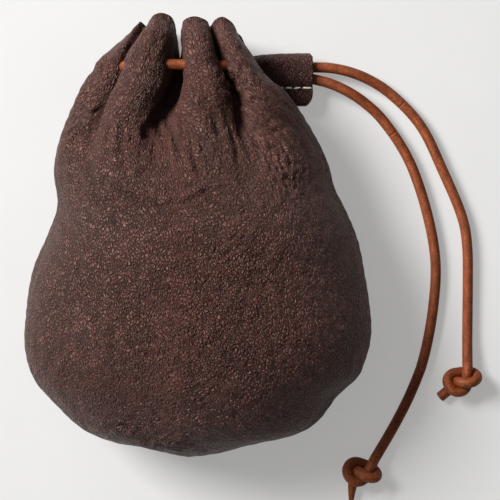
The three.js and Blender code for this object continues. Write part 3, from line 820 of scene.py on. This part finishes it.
def relaxed(path, radius, rounds=400):
    """A tight path: neighbours keep their spacing, and lengths that cross push each other apart."""
    p = path.copy()
    spacing = step_lengths(p).mean() * 0.985
    apart = int(math.ceil(2.2 * radius / spacing))
    i, j = np.triu_indices(len(p), apart)
    for _ in range(rounds):
        middle = (p[:-2] + p[2:]) / 2
        p[1:-1] += 0.12 * (middle - p[1:-1])
        for start in (0, 1):
            after = p[start + 1::2]
            before = p[start:-1:2][:len(after)]
            d = after - before
            shift = 0.5 * d * (1 - spacing / np.linalg.norm(d, axis=1, keepdims=True))
            before += shift
            after -= shift
        d = p[j] - p[i]
        length = np.linalg.norm(d, axis=1)
        close = length < 2 * radius
        push = d[close] * ((2 * radius - length[close]) / np.maximum(length[close], 1e-6) * 0.25)[:, None]
        np.add.at(p, i[close], -push)
        np.add.at(p, j[close], push)
        p[:, 2] = np.maximum(p[:, 2], radius)
        p[:3] = path[:3]
    return p


def knot_path(tail):
    """A tail's path with its tightened overhand knot and cut end."""
    x, y, z = relaxed(path_through(KNOT + tail["end"], KNOT_SPACING), CORD_RADIUS * 0.97).T
    c, s = math.cos(math.radians(tail["turn"])), math.sin(math.radians(tail["turn"]))
    placed = np.stack([tail["knot"][0] + c * x - s * y, tail["knot"][1] + s * x + c * y, z], axis=1)
    lead = [p for p in tail["path"] if p[1] > placed[0, 1] + 2.5]
    lead = path_through(lead + [tuple(placed[0]), tuple(placed[2])], KNOT_SPACING)
    whole = np.vstack([lead[:-3], placed[1:]])
    last = int(np.argmin(np.linalg.norm(whole - placed[0], axis=1))) + 2
    for _ in range(150):       # smooths the way into the knot
        whole[last - 50:last] = (whole[last - 51:last - 1] + whole[last - 50:last] * 2
                                 + whole[last - 49:last + 1]) / 4
    return evenly(whole, int(step_lengths(whole).sum() / 0.45))


def make_tail(name, tail):
    """The two pieces of one tail: from the slider past its bend, and the rest with the knot."""
    path = knot_path(tail)
    forward = unit(path[1] - path[0])
    path = np.vstack([path[0] - forward * CORD_RADIUS * 0.98, path[0] - forward * CORD_RADIUS * 0.5, path])
    cut = int(np.searchsorted(lengths_along(path), NEAR_LENGTH))
    near, far = path[:cut + 1], path[cut:]
    near_piece = cord_piece("drawcord_" + name + "_near", [near], CORD_RADIUS, start=1.0)
    radius = np.full(len(far), CORD_RADIUS)
    if tail["taper"]:
        radius[-TAPER_POINTS:] *= np.linspace(1, TAPER_TO, TAPER_POINTS)
    far_piece = cord_piece("drawcord_" + name + "_far", [far], radius, end=0.25)
    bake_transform(near_piece)
    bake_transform(far_piece)
    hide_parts(name + "_cord_exit", name + "_cord_bend")
    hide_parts(name + "_cord_end", name + "_knot")


def make_neck_cord():
    """The cord inside the neck: over the front, round the back, and both strands through the slider."""
    paths = [path_through(FRONT_RUN), path_through(BACK_RUN)]
    piece = cord_piece("drawcord_neck", paths, CORD_RADIUS, start=0.6, end=1.0)
    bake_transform(piece)
    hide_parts("cord_front_run", "cord_back_run", "cord_front_exit")


# ---- slider ------------------------------------------------------------------------------------
SLIDER_LEFT, SLIDER_RIGHT = 14.4, 31.45
SLIDER_THICKNESS = 1.15
SLIDER_STATIONS = 84     # places along the cords
FOLD_POINTS = 150        # places round the fold
SLIDER_DEPTH = 90.0      # keeps the slider's grain apart from the panels'
CUT_ROUNDING = 0.35      # how far in the cut edges are rounded
CORNER_Y, CORNER_WIDTH, CORNER_CUT = 43.4, 3.0, 2.4
STITCH_Y = 45.5
# Middle of the folded strip from the upper layer's cut edge over the fold: y, height over the cords.
SLIDER_FOLD = [(40.6, 0.74), (42.6, 0.82), (44.6, 0.76), (45.5, 0.66), (46.2, 1.0), (47.0, 1.78),
               (48.1, 2.26), (49.5, 2.34), (50.6, 2.3), (52.0, 2.4), (53.4, 2.16), (54.5, 1.25), (54.9, 0.0)]
STITCHES = [(31.1, 28.75), (27.9, 26.3), (25.5, 23.9), (23.1, 21.5), (20.7, 19.1), (18.3, 17.0)]
STITCH_LEAN = (-0.05, 0.09)      # how far the even and the odd stitches slant
STITCH_RADIUS = 0.3
# The line of a stitch: share of its half length, extra length, share of the slant, height over the leather.
STITCH_LINE = [(-1, -0.05, -1, -0.9), (-1, 0.1, -1, -0.1), (-0.5, 0, -0.5, 0.27), (0.5, 0, 0.5, 0.27),
               (1, -0.1, 1, -0.1), (1, 0.05, 1, -0.9)]


def slider_end(y):
    """x of the strip's right edge: a little uneven, with one rounded corner and drawn in at the fold."""
    corner = np.clip((CORNER_Y - y) / CORNER_WIDTH, 0, 1)
    right = SLIDER_RIGHT - 0.3 * (1 - step(41, 46, y)) + 0.1 * np.sin(y * 0.9)
    return right - CORNER_CUT * (1 - np.sqrt(np.maximum(0, 1 - corner ** 2))) - 0.9 * step(54.0, 55.4, y)


def rounding(distance):
    """1 at a cut edge, 0 away from it, along a quarter circle."""
    return 1 - np.sqrt(np.clip(1 - (1 - np.clip(distance / CUT_ROUNDING, 0, 1)) ** 2, 0, 1))


def make_slider():
    """One strip folded round both strands; its two layers meet below them."""
    fold = evenly(spline(SLIDER_FOLD + [(y, -z) for y, z in SLIDER_FOLD[-2::-1]]), FOLD_POINTS)
    along = unit(np.gradient(fold, axis=0))
    spacing = step_lengths(fold).mean()
    y, z = (column[None] for column in fold.T)
    share = np.linspace(0, 1, SLIDER_STATIONS)[:, None]
    x = SLIDER_LEFT + share * (slider_end(y) - SLIDER_LEFT)
    sag = 0.85 * ((1 - share) ** 3) * bell(y - 55, 3.0)
    from_end = np.minimum(share, 1 - share) * (SLIDER_RIGHT - SLIDER_LEFT)
    number = np.arange(FOLD_POINTS)
    from_cut = np.minimum(number, number[::-1])[None] * spacing
    thick = SLIDER_THICKNESS / 2 - 0.3 * np.maximum(rounding(from_end), rounding(from_cut))
    pull = sum(0.32 * bell(x - end, 0.45) * bell(y - STITCH_Y, 0.5) for stitch in STITCHES for end in stitch)
    layers = []
    for way in (1, -1):
        bumps = np.array([[noise.noise(Vector((a * 0.55, b * 0.16, 3.0 + way))) for b in number]
                          for a in x[:, 0]])
        offset = way * (thick + 0.1 * bumps - (pull if way > 0 else 0))
        layers.append(np.stack([x, y - along[:, 1][None] * offset - sag,
                                SLIDER_Z + z + along[:, 0][None] * offset], axis=2))
    points, faces, kinds = slab(*layers, flip=True)
    piece = make_mesh("slider_folded_leather", points, faces, [SLIDER_LEATHER, SUEDE], kinds)
    round_fold = np.broadcast_to(number * spacing, x.shape)
    hide = np.stack([x, round_fold, np.full_like(x, SLIDER_DEPTH)], axis=2).reshape(-1, 3)
    store(piece, "hide", np.vstack([hide, hide + (0, 0, SUEDE_SHIFT)]))
    for name in ("drawn", "crease_shade"):
        store(piece, name, np.zeros(len(points)))
    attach(piece, "slider")
    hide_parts("slider")


def make_slider_stitches():
    """Cream stitches through both layers of the slider, seen on top and, half a stitch on, underneath."""
    paths = []
    for number, (right, left) in enumerate(STITCHES):
        slant = STITCH_LEAN[number % 2]
        for way in (1, -1):
            middle = (right + left) / 2 + (0 if way > 0 else -1.2)
            half = (right - left) / 2
            level = SLIDER_Z + way * (0.66 + SLIDER_THICKNESS / 2)
            points = [(middle + half * share + more, STITCH_Y + slant * lean, level + way * rise)
                      for share, more, lean, rise in STITCH_LINE]
            paths.append(path_through(points, 0.12))
    piece = cord_piece("slider_stitching", paths, STITCH_RADIUS, CREAM, around=12)
    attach(piece, "slider")
    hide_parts("slider_thread")


# ---- floor, light and camera -------------------------------------------------------------------
FLOOR_SIZE = 3000.0
FLOOR_Z = -0.15          # just under the bag, so that nothing lies in the same plane
VIEW_CENTRE = (13.75, 0.0)
VIEW_WIDTH = 137.5       # width seen at the height VIEW_LEVEL
VIEW_LEVEL = 15.0
CAMERA_HEIGHT = 455.0
WORLD_COLOUR, WORLD_LIGHT = (0.9, 0.95, 1.0, 1), 0.1
# Lights in metres: place, size, power and colour.
WINDOW = ((-0.76, 0.46, 0.66), 0.45, 29.0, (1.0, 0.99, 0.97))
OVERHEAD = ((-0.25, 0.3, 1.1), 0.9, 1.2, (0.96, 0.98, 1.0))
AIM = (0.0, 0.0, 0.015)


def make_floor():
    corners = [(x * FLOOR_SIZE, y * FLOOR_SIZE, 0) for x, y in ((-1, -1), (1, -1), (1, 1), (-1, 1))]
    floor = make_mesh("floor", corners, [(0, 1, 2, 3)], [floor_material()])
    floor.location.z = FLOOR_Z * MM


def make_light(name, place, size, power, colour):
    """A square area light aimed at the bag."""
    light = bpy.data.lights.new(name, "AREA")
    light.size = size
    light.energy = power
    light.color = colour
    lamp = bpy.data.objects.new(name, light)
    bpy.context.scene.collection.objects.link(lamp)
    lamp.location = place
    lamp.rotation_euler = (Vector(AIM) - Vector(place)).to_track_quat("-Z", "Y").to_euler()


def make_camera():
    data = bpy.data.cameras.new("camera")
    data.angle = 2 * math.atan(VIEW_WIDTH / 2 / (CAMERA_HEIGHT - VIEW_LEVEL))
    camera = bpy.data.objects.new("camera", data)
    camera.location = (VIEW_CENTRE[0] * MM, VIEW_CENTRE[1] * MM, CAMERA_HEIGHT * MM)
    bpy.context.scene.collection.objects.link(camera)
    bpy.context.scene.camera = camera


def make_world():
    world = bpy.data.worlds.new("world")
    world.use_nodes = True
    background = world.node_tree.nodes["Background"]
    background.inputs[0].default_value = WORLD_COLOUR
    background.inputs[1].default_value = WORLD_LIGHT
    bpy.context.scene.world = world


# ---- all pieces --------------------------------------------------------------------------------
front_skin = make_panel("front_panel_leather", "front_panel", 1)
make_panel("back_panel_leather", "back_panel", -1)
make_seam_stitches(front_skin)
make_neck_cord()
for tail_name, tail in TAILS.items():
    make_tail(tail_name, tail)
make_slider()
make_slider_stitches()

make_floor()
make_world()
make_light("window", *WINDOW)
make_light("overhead", *OVERHEAD)
make_camera()
bpy.context.scene.view_settings.view_transform = "Standard"
